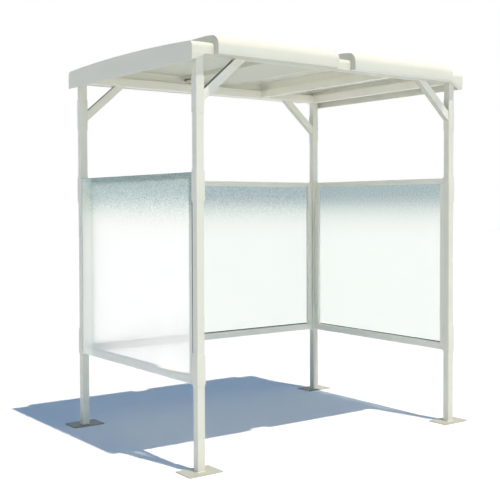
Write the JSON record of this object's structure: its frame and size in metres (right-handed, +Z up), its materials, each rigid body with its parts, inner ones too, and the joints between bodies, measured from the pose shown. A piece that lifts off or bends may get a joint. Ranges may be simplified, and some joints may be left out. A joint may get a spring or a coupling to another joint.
{
  "type": "bike shelter",
  "caption": "Open-fronted bike shelter: steel posts on base plates, framed frosted panels on three sides and a cambered metal roof with rounded roof pans.",
  "frame": {"origin": "on the ground at the middle of the plan of the whole shelter", "axes": "+X to the right along the open front, seen from outside; +Y from the open front to the back; +Z up"},
  "size_m": [2.325, 1.715, 2.523],
  "materials": {
    "coated_frame": "satin powder coat, pale cream",
    "coated_roof": "satin powder coat, pale cream",
    "frosted_sheet": "frosted, graduated from pale blue-grey at the top to near white"
  },
  "bodies": {
    "root": {"post_front_left": "coated_frame", "post_front_right": "coated_frame", "post_back_left": "coated_frame", "post_back_right": "coated_frame", "base_plate_front_left": "coated_frame", "base_plate_front_right": "coated_frame", "base_plate_back_left": "coated_frame", "base_plate_back_right": "coated_frame", "panel_clamps_front_left": "coated_frame", "panel_clamps_front_right": "coated_frame", "panel_clamps_back_left": "coated_frame", "panel_clamps_back_right": "coated_frame", "brace_collar_front_left": "coated_frame", "brace_collar_front_right": "coated_frame", "brace_collar_back_left": "coated_frame", "brace_collar_back_right": "coated_frame", "brace_front_left": "coated_frame", "brace_front_right": "coated_frame", "brace_back_left": "coated_frame", "brace_back_right": "coated_frame", "front_beam": "coated_frame", "back_beam": "coated_frame", "left_beam": "coated_frame", "right_beam": "coated_frame", "rafter": "coated_frame", "roof_closers": "coated_frame", "roof_deck": "coated_roof", "joint_cover": "coated_roof", "left_gable": "coated_roof", "right_gable": "coated_roof", "left_roof_pan": "coated_roof", "right_roof_pan": "coated_roof", "left_panel_top_rail": "coated_frame", "left_panel_bottom_rail": "coated_frame", "left_panel_stiles": "coated_frame", "left_panel_sheet": "frosted_sheet", "back_panel_top_rail": "coated_frame", "back_panel_bottom_rail": "coated_frame", "back_panel_stiles": "coated_frame", "back_panel_sheet": "frosted_sheet", "right_panel_top_rail": "coated_frame", "right_panel_bottom_rail": "coated_frame", "right_panel_stiles": "coated_frame", "right_panel_sheet": "frosted_sheet"}
  },
  "joints": []
}
